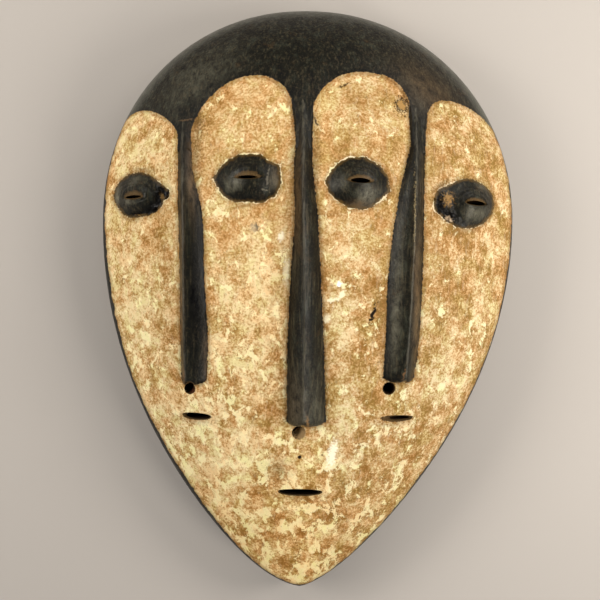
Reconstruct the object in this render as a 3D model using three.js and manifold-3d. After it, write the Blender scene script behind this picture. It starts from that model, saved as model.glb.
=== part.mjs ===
// A carved wooden face mask: one block of wood, hollowed from behind, lying on its flat back rim.
// Sizes are in millimetres. X runs across the face, Y from the chin to the forehead, and Z out of
// the face. The origin lies in the plane of the back rim, under the middle of the mask.

import * as THREE from 'three';
import { ParametricGeometry } from 'three/addons/geometries/ParametricGeometry.js';
import { mergeVertices } from 'three/addons/utils/BufferGeometryUtils.js';
import Module from 'manifold-3d';

// Outline of the face, measured from its widest row. The two sides were carved by eye and differ.
const CROWN_LENGTH = 153.6;
const CHIN_LENGTH = 267.3;
const LEFT = { sign: -1, halfWidth: 148.8, crownPower: 2.08, chinPower: 0.768, chinTaper: 0.11 };
const RIGHT = { sign: 1, halfWidth: 151.1, crownPower: 2.05, chinPower: 0.841, chinTaper: 0.086 };

// Swell of the face above its edge. A roundness near 1 turns over steeply at the outline.
const EDGE_HEIGHT = 36;
const BULGE = 62;
const FACE_ROUNDNESS = 0.707;
const CROWN_ROUNDNESS = 0.93;

// Rounded edge, side wall and back
const EDGE_ROUND = 6;
const EDGE_DROP = 5;
const WALL_FLARE = 3;
const RIM_LAND = 13;
const CHIN_LAND = 20;
const HOLLOW_DEPTH = 84;
const HOLLOW_POWER = 2.2;

// The forehead stands proud of the four pale fields, and fades out where the crown turns over.
const FOREHEAD_LIFT = 3;
const FOREHEAD_END = 0.97;
const FOREHEAD_FADE = 8;
const VALLEY_FLOOR = 100;
const FIELDS = [
  { left: -143.5, crownX: -122, crownY: 131.5, right: -90.8, spring: 106, leftPower: 1.8, rightPower: 1.8 },
  { left: -82.4, crownX: -40, crownY: 151.2, right: -9.4, spring: 110, leftPower: 1.95, rightPower: 2.5 },
  { left: 1.4, crownX: 37, crownY: 155, right: 67.6, spring: 118, leftPower: 2.1, rightPower: 2.6 },
  { left: 79.6, crownX: 100, crownY: 139.8, right: 143, spring: 104, leftPower: 3.1, rightPower: 1.7 },
];

// Each nose is a ridge with two slightly full flanks, given by its width and height at a few rows.
const FLANK_FULLNESS = 0.5;
const NOSE_END_ROUND = 3;
const NOSES = [
  [
    { y: 118, left: -91, ridge: -87.2, right: -83.6, height: 3 },
    { y: 86, left: -90, ridge: -85, right: -80.5, height: 6.5 },
    { y: 62, left: -89.1, ridge: -83.3, right: -73.6, height: 8.5 },
    { y: 10, left: -87.5, ridge: -82.2, right: -69.6, height: 9.5 },
    { y: -30, left: -87, ridge: -81.6, right: -66.8, height: 9.5 },
    { y: -61, left: -86, ridge: -80.3, right: -68.3, height: 9 },
  ],
  [
    { y: 134, left: -12.6, ridge: -5, right: 2.6, height: 3 },
    { y: 106, left: -9.7, ridge: -4.5, right: 2, height: 6 },
    { y: 84, left: -10.2, ridge: -4.1, right: 3, height: 8.5 },
    { y: 58, left: -9.1, ridge: -3.4, right: 6, height: 10 },
    { y: 18, left: -11, ridge: -2, right: 9, height: 11.5 },
    { y: -30, left: -12.6, ridge: -1.4, right: 11.8, height: 12.5 },
    { y: -87, left: -12.4, ridge: -1.6, right: 14.5, height: 13 },
  ],
  [
    { y: 130, left: 66.4, ridge: 72, right: 81.4, height: 3 },
    { y: 104, left: 66.9, ridge: 72.1, right: 79.1, height: 6 },
    { y: 82, left: 63.2, ridge: 72.3, right: 78.8, height: 8.5 },
    { y: 56, left: 58.6, ridge: 71.7, right: 78.8, height: 9.5 },
    { y: 15, left: 54.4, ridge: 70.6, right: 78.6, height: 10.5 },
    { y: -30, left: 53.6, ridge: 69.2, right: 77.4, height: 10.5 },
    { y: -56.5, left: 52.4, ridge: 68.3, right: 74.6, height: 10 },
  ],
];

// Round raised eyes, each cut through by a narrow level slit
const EYE_POWER = 2.4;
const EYE_SLIT_LENGTH = 19;
const EYE_SLIT_HEIGHT = 2.1;
const EYES = [
  { x: -122.5, y: 71.3, halfWidth: 17.5, halfHeight: 16, height: 8.5, slitX: -124.3, slitY: 71.2 },
  { x: -41.8, y: 80.3, halfWidth: 20.5, halfHeight: 16.2, height: 9, slitX: -42, slitY: 80.9 },
  { x: 33, y: 78.3, halfWidth: 20.8, halfHeight: 17.4, height: 9.5, slitX: 34.5, slitY: 79.6 },
  { x: 117.5, y: 68.7, halfWidth: 15.5, halfHeight: 17.5, height: 8.5, slitX: 117.4, slitY: 69.3 },
];

// Three mouths, and the hole under each nose
const MOUTHS = [
  { x: -75.7, y: -83.3, length: 22.8, height: 3.5 },
  { x: -2.2, y: -134.6, length: 30, height: 3.9 },
  { x: 63.7, y: -81.8, length: 22.4, height: 3.4 },
];
const NOSTRILS = [
  { x: -80.1, y: -63.5, radius: 3.4 },
  { x: -3.8, y: -91.8, radius: 3.6 },
  { x: 57.3, y: -60.4, radius: 3.9 },
];

// Fineness of the faceted surfaces
const AROUND = 76;
const FACE_RINGS = 17;
const EDGE_RINGS = 3;
const HOLLOW_RINGS = 8;
const NOSE_SECTIONS = 13;
const FLANK_STEPS = 3;
const EYE_AROUND = 24;
const EYE_RINGS = 5;
const ARCH_STEPS = 9;
const SLIT_STEPS = 6;
const HOLE_SIDES = 16;
const BURIED = 4;
const CUT_LOW = -10;
const CUT_HIGH = 140;

// The widest row stands where the back rim's box is centred on the origin.
const WIDEST_Y = (CHIN_LENGTH - CROWN_LENGTH) / 2;
const AXIS_X = (LEFT.halfWidth - RIGHT.halfWidth) / 2;
const CENTRE = new THREE.Vector2(AXIS_X, WIDEST_Y);

const wasm = await Module();
wasm.setup();

// Half width of one side at a row: a superellipse above the widest row, a tapering arc below it
function halfWidth(side, rise, grow) {
  const half = side.halfWidth + grow;
  if (rise >= 0) {
    return half * (1 - rise ** side.crownPower) ** (1 / side.crownPower);
  }
  const power = side.chinPower - side.chinTaper * rise ** 6;
  return half * (1 - rise * rise) ** power;
}

// Point of the outline at an angle about the widest row, moved outward by grow
function outline(angle, grow, chinGrow = grow) {
  const side = Math.cos(angle) < 0 ? LEFT : RIGHT;
  const rise = Math.max(-1, Math.min(1, Math.sin(angle)));
  const reach = rise >= 0 ? CROWN_LENGTH + grow : CHIN_LENGTH + chinGrow;
  const across = side.sign * halfWidth(side, rise, grow);
  return new THREE.Vector2(AXIS_X + across, WIDEST_Y + reach * rise);
}

// Height of a circular arc of the given roundness, from 1 in the middle to 0 at the end
function arc(share, roundness) {
  const floor = Math.sqrt(1 - roundness ** 2);
  return (Math.sqrt(1 - Math.min(1, roundness * share) ** 2) - floor) / (1 - floor);
}

// Height of the plain face above the back rim: an arc along the middle line times an arc across
function faceHeight(x, y) {
  const side = x < AXIS_X ? LEFT : RIGHT;
  const up = y >= WIDEST_Y;
  const rise = Math.max(-1, Math.min(1, (y - WIDEST_Y) / (up ? CROWN_LENGTH : CHIN_LENGTH)));
  const half = Math.max(halfWidth(side, rise, 0), 1e-6);
  const across = Math.min(1, Math.abs(x - AXIS_X) / half);
  const turn = up ? FACE_ROUNDNESS + (CROWN_ROUNDNESS - FACE_ROUNDNESS) * rise * rise : FACE_ROUNDNESS;
  const along = arc(Math.abs(rise), up ? CROWN_ROUNDNESS : FACE_ROUNDNESS);
  return EDGE_HEIGHT + BULGE * along * arc(across, turn);
}

function onFace(point, lift) {
  return new THREE.Vector3(point.x, point.y, faceHeight(point.x, point.y) + lift);
}

// A closed solid from any closed geometry: shared corners merged, collapsed triangles dropped
function solid(geometry) {
  geometry.deleteAttribute('normal');
  geometry.deleteAttribute('uv');
  const merged = mergeVertices(geometry, 1e-4);
  const position = merged.getAttribute('position');
  const index = merged.getIndex().array;
  const corner = (at) => new THREE.Vector3().fromBufferAttribute(position, index[at]);
  const triangles = [];
  let volume = 0;
  for (let at = 0; at < index.length; at += 3) {
    const [a, b, c] = [index[at], index[at + 1], index[at + 2]];
    if (a !== b && b !== c && c !== a) {
      triangles.push(a, b, c);
      volume += corner(at).dot(corner(at + 1).cross(corner(at + 2)));
    }
  }
  if (volume < 0) {
    triangles.reverse();
  }
  const vertProperties = new Float32Array(position.array);
  const triVerts = new Uint32Array(triangles);
  return new wasm.Manifold(new wasm.Mesh({ numProp: 3, vertProperties, triVerts }));
}

// A skin through a row of rings. Each ring gives a point for a share of the way round it, and the
// first and last rings are single points, so the skin is closed.
function skin(rings, around) {
  const last = rings.length - 1;
  return solid(new ParametricGeometry((u, v, target) => {
    const share = (Math.round(u * around) % around) / around;
    target.copy(rings[Math.round(v * last)](share));
  }, around, last));
}

// The hollow shell: face, rounded edge, side wall, flat back rim and hollow, each a set of rings
function shell() {
  const rings = [];
  for (let i = 0; i <= FACE_RINGS; i += 1) {
    rings.push((share) => {
      const edge = outline(2 * Math.PI * share, 0).sub(CENTRE);
      edge.setLength((edge.length() - EDGE_ROUND) * i / FACE_RINGS);
      return onFace(edge.add(CENTRE), 0);
    });
  }
  for (let i = 1; i <= EDGE_RINGS; i += 1) {
    const turn = Math.PI / 2 * i / EDGE_RINGS;
    rings.push((share) => {
      const edge = outline(2 * Math.PI * share, 0).sub(CENTRE);
      edge.setLength(edge.length() - EDGE_ROUND * (1 - Math.sin(turn)));
      return onFace(edge.add(CENTRE), -EDGE_DROP * (1 - Math.cos(turn)));
    });
  }
  rings.push((share) => {
    const foot = outline(2 * Math.PI * share, WALL_FLARE);
    return new THREE.Vector3(foot.x, foot.y, 0);
  });
  for (let i = HOLLOW_RINGS; i >= 0; i -= 1) {
    const spread = Math.sin(Math.PI / 2 * i / HOLLOW_RINGS);
    const height = HOLLOW_DEPTH * (1 - spread ** HOLLOW_POWER) ** (1 / HOLLOW_POWER);
    rings.push((share) => {
      const inner = outline(2 * Math.PI * share, -RIM_LAND, -CHIN_LAND);
      inner.sub(CENTRE).multiplyScalar(spread).add(CENTRE);
      return new THREE.Vector3(inner.x, inner.y, height);
    });
  }
  return skin(rings, AROUND);
}

// A raised patch on the face: edge gives its border, lift its height from 0 in the middle to 1
function patch(centre, edge, lift, rings, around) {
  const levels = [];
  for (let i = 0; i <= rings; i += 1) {
    levels.push({ share: i / rings, lift: lift(i / rings) });
  }
  for (let i = rings; i >= 0; i -= 1) {
    levels.push({ share: i / rings, lift: -BURIED });
  }
  const points = levels.map((level) => (share) => {
    const point = edge(2 * Math.PI * share).sub(centre).multiplyScalar(level.share).add(centre);
    return onFace(point, level.lift);
  });
  return skin(points, around);
}

// Points along the rounded top of one pale field, from its left foot over the crown to its right
function arch(field) {
  const points = [];
  const rise = field.crownY - field.spring;
  for (let i = -ARCH_STEPS; i <= ARCH_STEPS; i += 1) {
    const turn = Math.PI / 2 * i / ARCH_STEPS;
    const reach = i < 0 ? field.crownX - field.left : field.right - field.crownX;
    const power = i < 0 ? field.leftPower : field.rightPower;
    const across = Math.sign(i) * Math.abs(Math.sin(turn)) ** (2 / power);
    const up = Math.cos(turn) ** (2 / power);
    points.push(new THREE.Vector2(field.crownX + reach * across, field.spring + rise * up));
  }
  return points;
}

// The forehead: a layer over the whole face, kept only above the arches and down the valleys
function forehead() {
  const edge = (angle) => {
    const border = outline(angle, 0).sub(CENTRE);
    return border.setLength(border.length() - EDGE_ROUND).add(CENTRE);
  };
  const lift = (share) => FOREHEAD_LIFT * (1 - (share / FOREHEAD_END) ** FOREHEAD_FADE);
  const layer = patch(CENTRE, edge, lift, FACE_RINGS, AROUND);
  const far = CHIN_LENGTH;
  const region = new THREE.Shape();
  region.moveTo(-far, far);
  region.lineTo(-far, FIELDS[0].spring);
  FIELDS.forEach((field, order) => {
    if (order > 0) {
      region.lineTo(field.left, VALLEY_FLOOR);
    }
    arch(field).forEach((point) => region.lineTo(point.x, point.y));
    if (order < FIELDS.length - 1) {
      region.lineTo(field.right, VALLEY_FLOOR);
    }
  });
  region.lineTo(far, FIELDS[FIELDS.length - 1].spring);
  region.lineTo(far, far);
  return layer.intersect(prism(region));
}

function prism(shape) {
  const depth = CUT_HIGH - CUT_LOW;
  const geometry = new THREE.ExtrudeGeometry(shape, { depth, bevelEnabled: false, curveSegments: 1 });
  geometry.translate(0, 0, CUT_LOW);
  return solid(geometry);
}

// A ridge laid along the face through its rows, with a short rounding at its lower end
function nose(rows) {
  const line = (name) => new THREE.SplineCurve(rows.map((row) => new THREE.Vector2(row[name], row.y)));
  const [left, ridge, right, height] = ['left', 'ridge', 'right', 'height'].map(line);
  const foot = rows[rows.length - 1].y;
  const corners = 2 * FLANK_STEPS + 3;
  const section = (along) => (share) => {
    const corner = Math.round(share * corners);
    const { y } = ridge.getPoint(along);
    const nearEnd = Math.max(0, 1 - (y - foot) / NOSE_END_ROUND);
    const tall = height.getPoint(along).x * (1 - 0.25 * nearEnd ** 2);
    const flank = Math.min(Math.max(corner - 1, 0), 2 * FLANK_STEPS) / FLANK_STEPS - 1;
    const side = (flank < 0 ? left : right).getPoint(along).x;
    const middle = ridge.getPoint(along).x;
    const x = middle + (side - middle) * Math.abs(flank);
    const buried = corner === 0 || corner === corners - 1;
    const lift = tall * (1 - Math.abs(flank)) * (1 + FLANK_FULLNESS * Math.abs(flank));
    return onFace(new THREE.Vector2(x, y), buried ? -BURIED : lift);
  };
  const end = (along) => () => onFace(ridge.getPoint(along), 0);
  const rings = [end(0)];
  for (let i = 0; i <= NOSE_SECTIONS; i += 1) {
    rings.push(section(i / NOSE_SECTIONS));
  }
  const tip = 1 - NOSE_END_ROUND / (rows[rows.length - 2].y - foot) / (rows.length - 1);
  rings.splice(rings.length - 1, 0, section(tip));
  rings.push(end(1));
  return skin(rings, corners);
}

// A domed eye, steep at its border and full on top
function eye(row) {
  const centre = new THREE.Vector2(row.x, row.y);
  const edge = (angle) => new THREE.Vector2(
    row.x + row.halfWidth * Math.cos(angle),
    row.y + row.halfHeight * Math.sin(angle),
  );
  const lift = (share) => row.height * (1 - share ** EYE_POWER) ** (1 / EYE_POWER);
  return patch(centre, edge, lift, EYE_RINGS, EYE_AROUND);
}

// A level lens-shaped cut, right through the wood
function slit(x, y, length, height) {
  const shape = new THREE.Shape();
  shape.moveTo(x - length / 2, y);
  for (let i = 1; i < 2 * SLIT_STEPS; i += 1) {
    const turn = Math.PI * (1 - i / SLIT_STEPS);
    const half = height / 2 * Math.sin(turn);
    shape.lineTo(x + length / 2 * Math.cos(turn), y + half);
  }
  return prism(shape);
}

function nostril(row) {
  const geometry = new THREE.CylinderGeometry(row.radius, row.radius, CUT_HIGH - CUT_LOW, HOLE_SIDES);
  geometry.rotateX(Math.PI / 2);
  geometry.translate(row.x, row.y, (CUT_HIGH + CUT_LOW) / 2);
  return solid(geometry);
}

function carve() {
  let wood = shell().add(forehead());
  NOSES.forEach((rows) => {
    wood = wood.add(nose(rows));
  });
  EYES.forEach((row) => {
    wood = wood.add(eye(row)).subtract(slit(row.slitX, row.slitY, EYE_SLIT_LENGTH, EYE_SLIT_HEIGHT));
  });
  MOUTHS.forEach((row) => {
    wood = wood.subtract(slit(row.x, row.y, row.length, row.height));
  });
  NOSTRILS.forEach((row) => {
    wood = wood.subtract(nostril(row));
  });
  return wood;
}

function toGeometry(shape) {
  const { vertProperties, triVerts } = shape.getMesh();
  const geometry = new THREE.BufferGeometry();
  geometry.setAttribute('position', new THREE.BufferAttribute(vertProperties, 3));
  geometry.setIndex(new THREE.BufferAttribute(triVerts, 1));
  geometry.computeVertexNormals();
  return geometry;
}

const paintedWood = new THREE.MeshStandardMaterial({ color: 0xcfa873, roughness: 0.8, metalness: 0 });
const mask = new THREE.Mesh(toGeometry(carve()), paintedWood);
mask.name = 'mask';

const part = new THREE.Group();
part.add(mask);

export default part;
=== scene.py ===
"""A carved wooden face mask, lying on the flat rim of its hollow back.

The mask is one piece. Its face is a grid carried over the outline and lifted by formulas in
millimetres: an arc along the middle line times an arc across, the forehead's layer, three ridge
noses, four domed eyes, the kaolin crust and the marks of the knife. The slits and holes are bored
through it, and what is black, pale or bare wood is worked out from where each point lies.
"""

import bpy
import numpy as np
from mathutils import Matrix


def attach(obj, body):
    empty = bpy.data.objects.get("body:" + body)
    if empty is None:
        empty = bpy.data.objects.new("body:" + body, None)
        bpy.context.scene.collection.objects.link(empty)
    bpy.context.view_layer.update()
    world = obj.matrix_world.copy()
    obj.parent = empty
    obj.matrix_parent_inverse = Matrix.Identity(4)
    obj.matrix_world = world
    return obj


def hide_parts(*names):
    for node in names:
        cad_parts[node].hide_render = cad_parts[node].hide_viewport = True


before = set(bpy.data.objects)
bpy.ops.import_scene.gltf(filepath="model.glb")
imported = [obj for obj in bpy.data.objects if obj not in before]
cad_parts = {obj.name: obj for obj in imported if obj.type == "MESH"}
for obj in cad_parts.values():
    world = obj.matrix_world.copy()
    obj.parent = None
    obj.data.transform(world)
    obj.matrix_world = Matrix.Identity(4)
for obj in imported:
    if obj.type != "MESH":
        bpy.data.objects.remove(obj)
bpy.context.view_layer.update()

bl_info = {
    "name": "Carved Face Mask",
    "version": (1, 0, 0),
    "blender": (4, 5, 0),
    "location": "View3D > Sidebar > Face Mask",
    "description": "Builds a kaolin-faced wooden mask, its floor, its lights and its camera",
    "category": "Add Mesh",
}

MM = 0.001
PIXELS = 600
SENSOR = 36.0

# Outline, in millimetres from the widest row; left and right were carved by eye and differ
CROWN_LENGTH = 153.6
CHIN_LENGTH = 267.3
LEFT = {"half": 148.8, "crown_power": 2.08, "chin_power": 0.768, "chin_taper": 0.11}
RIGHT = {"half": 151.1, "crown_power": 2.05, "chin_power": 0.841, "chin_taper": 0.086}
WIDEST_Y = (CHIN_LENGTH - CROWN_LENGTH) / 2
AXIS_X = (LEFT["half"] - RIGHT["half"]) / 2

# Swell of the face, rounded edge, wall and hollow
EDGE_HEIGHT = 36.0
BULGE = 62.0
FACE_ROUNDNESS = 0.707
CROWN_ROUNDNESS = 0.93
EDGE_ROUND = 6.0
EDGE_DROP = 5.0
WALL_FLARE = 3.0
WALL_RADIUS = 165
RIM_LAND = 13.0
CHIN_LAND = 20.0
HOLLOW_DEPTH = 84.0
HOLLOW_POWER = 2.2

# The four pale fields: side lines, crown of the arch, height where the sides spring, fullness
VALLEY_FLOOR = 100.0
FOREHEAD_END = 0.97
FOREHEAD_FADE = 8.0
FIELDS = (
    {"left": -143.5, "x": -122, "y": 131.5, "right": -90.8, "spring": 106, "powers": (1.8, 1.8)},
    {"left": -81, "x": -40, "y": 151.2, "right": -9.4, "spring": 107, "powers": (1.76, 2.5)},
    {"left": 1.4, "x": 37, "y": 155, "right": 69.2, "spring": 118, "powers": (2.1, 2.6)},
    {"left": 79.6, "x": 100, "y": 139.8, "right": 143, "spring": 104, "powers": (3.1, 1.7)},
)

# Rows of each nose: y, left foot, ridge, right foot, height
FLANK_FULLNESS = 0.5
NOSE_CORNER = 3.4
NOSE_NOTCH = 1.4
NOSES = (
    ((118, -91, -87.4, -81.2, 3), (86, -90, -86.2, -79.2, 6.5), (62, -89.1, -85.2, -73, 8.5),
     (10, -87.2, -84, -69.6, 9.5), (-30, -86.7, -83.4, -66.8, 9.5), (-61, -86, -82, -68.3, 9)),
    ((134, -12.6, -5, 2.6, 3), (106, -9.7, -4.5, 2, 6), (84, -10.2, -4.1, 3, 8.5),
     (58, -9.1, -3.4, 6, 10), (18, -11, -2, 9, 11.5), (-30, -12.6, -1.4, 11.8, 12.5),
     (-87, -12.4, -1.6, 14.5, 13)),
    ((130, 68, 72.6, 81.4, 3), (104, 68.2, 72.6, 79.1, 6), (82, 63.2, 72.3, 78.8, 8.5),
     (56, 58.6, 71.7, 78.8, 9.5), (15, 54.4, 70.6, 78.6, 10.5), (-30, 53.6, 69.2, 77.4, 10.5),
     (-56.5, 52.4, 68.3, 74.6, 10)),
)

# Eyes: centre, half width, half height and height of each dome
EYES = (
    (-121.5, 70.8, 18.2, 16.5, 8),
    (-41.5, 80.3, 22.5, 17.6, 8.5),
    (33, 78, 21.8, 18.3, 9),
    (116.3, 68, 16.8, 18.2, 8.5),
)
# Corners of the bare patch around each eye, where the kaolin has broken away in straight chips
EYE_PATCHES = (
    ((-139.9, 71.5), (-138.4, 77.6), (-133.7, 82.8), (-127.2, 86.3), (-119.2, 87.1), (-111.3, 84.9),
     (-106, 81.1), (-100.8, 76.8), (-96.4, 73.7), (-95.1, 71.3), (-96.4, 67.2), (-99.8, 65.6),
     (-101.3, 61.6), (-105.9, 58.2), (-111.2, 56), (-118.2, 55.2), (-124.8, 54.8), (-131, 57.2),
     (-135.3, 62.2), (-139, 67.2)),
    ((-65, 80.4), (-60.7, 86.9), (-54.6, 92.2), (-47.5, 96.4), (-33, 96.3), (-26.2, 91.2),
     (-19.6, 88.9), (-18.4, 76.4), (-22.4, 67.7), (-31, 62.9), (-40, 63.6), (-49.5, 63.6),
     (-57, 67.6), (-61.7, 74)),
    ((11, 78.2), (13.6, 83.5), (18.5, 90.5), (26.4, 94.9), (38.6, 95.6), (47.5, 90.3), (53, 83.1),
     (55.3, 73), (49.7, 68), (42.5, 61.7), (35.6, 59.8), (27, 61), (18.1, 66), (13, 71.6)),
    ((85.2, 68.5), (88.1, 75.6), (96.7, 80.2), (103, 83.7), (109.4, 85.7), (117.3, 85),
     (125.4, 81.6), (130.9, 76.8), (132.8, 69.7), (130.7, 62.4), (124.4, 54.9), (116.3, 51.2),
     (108.5, 50.2), (102.1, 51.2), (95.7, 54.4), (91.2, 58.2), (86.4, 61.1)),
)
# Where wood has crumbled beside the outer eyes: centre, half width and half height
CRUMBLED = (
    (-100, 70, 6, 8), (-106, 60.5, 5.5, 4.5), (-118, 57, 6, 2.6), (90, 66, 5.5, 7.5),
    (98, 57, 6.5, 4.5),
)
PIT_DEPTH = 2.8
LID_LINE = 2.4
LID_DEPTH = 0.28
# Slits of the eyes: centre, half length and half height, then the lids' cut: half length, height
# above and below the middle
SLITS = (
    (-122.8, 69.2, 6.4, 1.1, 9.6, 6.6, 3),
    (-41, 80.1, 6.8, 1.1, 12, 6.4, 1.9),
    (34.2, 78.9, 6.8, 1.7, 11.2, 5.3, 2.2),
    (116.8, 68.4, 7.6, 1.6, 9.2, 5, 2.4),
)
# Mouths: centre, half length, height above and below the middle line, then the hole inside the
# lips: how far right of the centre, half length, height above and below
MOUTHS = (
    (-75.9, -83.2, 11.2, 2.3, 3, 1.4, 8.6, 2.2, 2.1),
    (-2.4, -134.4, 15.8, 2.1, 3.3, 0, 14.4, 2, 2.6),
    (63.4, -81.8, 12.4, 2.1, 3, 2.4, 6.8, 1.1, 1),
)
# Nostrils: centre, radius, and how far the drill leaned toward the upper left
NOSTRILS = ((-80.1, -64, 3.8, 0.8), (-3.9, -91.8, 4.5, 3), (57.3, -60.8, 4.3, 0.3))
# Noise of the carved surface: size in millimetres, seed and layers
NOISES = {
    "eye_edge": (5, 11, 2), "eye_chips": (1.9, 17, 1), "black_edge": (6, 11, 2),
    "black_chips": (2.4, 17, 1), "arch_edge": (9, 5, 2), "pits": (2.3, 101, 1),
    "fine_pits": (1.2, 103, 1), "crust_grain": (3.5, 31, 3), "crust_waves": (16, 41, 2),
    "black_grain": (7, 51, 2), "black_waves": (22, 61, 2), "hollow_grain": (6, 91, 3),
}
# Gouge cuts: width in millimetres, how many times longer than wide, and seed
GOUGES = {"wall": (9, 1.7, 71), "hollow": (13, 1.9, 81)}
# Bores, in millimetres: how far under the floor they begin, and how far under the skin a slit, a
# mouth and a nostril narrow. Then the power that points a slit's ends or blunts a mouth's.
BORE_LOW = -10.0
SLIT_NECK, MOUTH_NECK, NOSTRIL_NECK = -2.6, -3.0, -6.0
SLIT_POINT, MOUTH_POINT = 1.3, 0.8
# Patterns of wear: size in millimetres, octaves, strength kept by each finer octave, stretch, warp.
# The pores of a slip and the marks of a knife are finer than half a millimetre. "pores" and "knife"
# are drawn at two pixels of the view, so that they show.
PATTERNS = {
    "mottle": (15, 5, 0.9, (1, 0.85, 1), 0),
    "flakes": (8.5, 5, 0.7, (1, 0.75, 1), 0.35),
    "thin": (10, 4, 0.8, (1, 0.6, 1), 0.4),
    "blush": (11, 3, 0.6, (1, 0.8, 1), 0.5),
    "pores": (1.5, 2, 0.6, (1, 1, 1), 0),
    "brushing": (2.2, 3, 0.7, (1, 0.16, 1), 0),
    "rubbing": (17, 5, 0.75, (1, 1, 1), 0),
    "cast": (6, 5, 0.8, (1, 0.6, 1), 0.3),
    "knife": (1.6, 3, 0.7, (1, 0.07, 1), 0),
    "edge": (1.7, 2, 0.7, (1, 1, 1), 0),
    "fibre": (3, 4, 0.65, (5, 0.5, 5), 0),
    "wander": (3.2, 2, 0.6, (1, 1, 1), 0),
}
# Guides worked out from attributes, patterns and each other: name, then a, b and c of a times b
# plus c
GUIDES = (
    ("blotches", "mottle", 1, -0.5), ("blotches", "blotches", "blotchy", 0.5),
    # The kaolin's tone follows its stains and the painted shade beside the noses
    ("tone", "stain_and_shade", 0.045, "blotches"), ("speckle", "pores", 0.44, -0.22),
    ("tone", "tone", 1, "speckle"), ("shift", "edge", 2.4, -1.2),
    ("ragged", "black", 1, "shift"), ("ragged_depth", "depth", 1, "shift"),
    ("rimmed", "wander", 4, -2), ("rimmed", "eye", 1, "rimmed"),
    ("rimmed", "away", 1, "rimmed"), ("patchy", "cast", 5, -1.6),
    # Painted sheen and shade on the black, and its brown wear, broken up into patches
    ("painted_sheen_and_shade", "painted_sheen_and_shade", "patchy", 0), ("browned", "browned", "patchy", 0),
    ("scuffs", "rubbing", 60, -30), ("scuffed", "height", 1, "scuffs"),
    ("ridge_wear_and_sheen", "brushing", 5, -2.4), ("ridge_wear_and_sheen", "ridge_wear_and_sheen", 1, "ridge"),
    ("flaking", "low", 0.095, "flakes"), ("flaking", "rightward_grey", -0.03, "flaking"),
    ("chip", "crust", 1, -4.5), ("chipped_edge_and_highlight", "wander", 3, "chip"),
    ("chipped_edge_and_highlight", "flakes", 6, "chipped_edge_and_highlight"), ("fine", "pores", 2.4, -1.2),
    ("coarse", "edge", 3.2, -1.5), ("grain", "mottle", 0.8, "pores"),
)
# Depth of the coatings' bumps in millimetres, and the angle in degrees from which an edge is sharp
BUMP_DEPTH = 0.35
SHARP_ANGLE = 55
# How the marks' edges wander: size and reach in millimetres
WANDER_SIZE, WANDER_REACH = 2.6, 3.0
# Attributes that paint_masks gives the mesh
MASKS = (
    "black", "eye", "crust", "away", "ridge", "painted_rim_sheen", "crumbled", "depth", "height", "stain_and_shade",
    "blotchy", "rightward_grey", "low", "painted_sheen_and_shade", "browned",
)
# Coats laid over each other: what guides each, from and to which value it sets in, its strength
# and colour. Millimetres for "black", "eye", "depth" and "ridge", which are distances.
KAOLIN_COATS = (
    ("tone", 0.5, 0.385, 1, "#936C32"), ("tone", 0.5, 0.62, 0.9, "#F1DCAB"),
    ("flaking", 0.585, 0.62, 0.85, "#FFF1BE"), ("thin", 0.58, 0.68, 0.45, "#A87A42"),
    ("pores", 0.64, 0.72, 0.55, "#7C5C33"), ("brushing", 0.56, 0.7, 0.25, "#FFF0CC"),
    # Brown beside the black: thinner kaolin, with painted shade where the noses meet the fields.
    # Cream along the chipped crust: fresh kaolin, with a painted highlight on the crust's edge.
    ("black", -3.2, -0.1, 0.6, "#7A5A32"), ("chipped_edge_and_highlight", -0.5, -0.2, 0.8, "#F6E6BE"),
)
# Thin washes that multiply the kaolin: red where the wood's own tan shows through, green-yellow
# where soot has settled, and a cooler grey towards the right
KAOLIN_TINTS = (
    ("blush", 0.5, 0.62, 1, "#FFF3EB"), ("blush", 0.5, 0.38, 1, "#FAFFF2"),
    ("rightward_grey", 0, 1, 1, "#F1F6FF"), ("low", 0.6, 0.9, 1, "#FFF7E8"),
)
BLACK_COATS = (
    ("cast", 0.5, 0.66, 0.45, "#41453B"), ("cast", 0.48, 0.36, 0.9, "#070706"),
    # The second coat darkens the black along its edge: pits at the eyes, painted shade at the
    # noses' feet
    ("rubbing", 0.57, 0.68, 0.6, "#40311F"), ("black", 4.2, 0.8, 0.85, "#070604"),
    ("pores", 0.57, 0.7, 0.22, "#5E523C"), ("knife", 0.53, 0.68, 0.42, "#5A513D"),
    # Second coat here and the first of the next: painted grey highlights and painted near-black
    # shade
    ("knife", 0.47, 0.36, 0.6, "#0B0B09"), ("painted_sheen_and_shade", 0, 1, 1, "#74705F"),
    ("painted_sheen_and_shade", 0, -1, 1, "#060505"), ("browned", 0, 1, 1, "#5E4A32"),
    # The second coat here is a paler line along the noses' ridges: wear with a painted sheen
    ("rimmed", 2.4, 0.4, 0.8, "#5C4620"), ("ridge_wear_and_sheen", 1.2, 0, 0.45, "#5F5B4E"),
    # Painted grey sheen along the crown's outline; near black in the pits, char with painted shade
    ("painted_rim_sheen", 10, 0, 0.55, "#77766C"), ("crumbled", 0.15, 0.6, 0.9, "#070504"),
    ("scuffed", 7, 0, 0.7, "#5E452B"),
)
# Bare wood: dark brown at a cut's lip, palest some 2 mm in, and near black further in, soot with
# painted shade inside the slits and holes; brown again in the hollow
WOOD_COATS = (
    ("depth", 2, 0.9, 0.75, "#2E2214"), ("depth", 2.5, 4.2, 1, "#140D07"),
    ("depth", 8, 12, 1, "#5A4028"), ("fibre", 0.45, 0.6, 0.5, "#3E2A18"),
)
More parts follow.
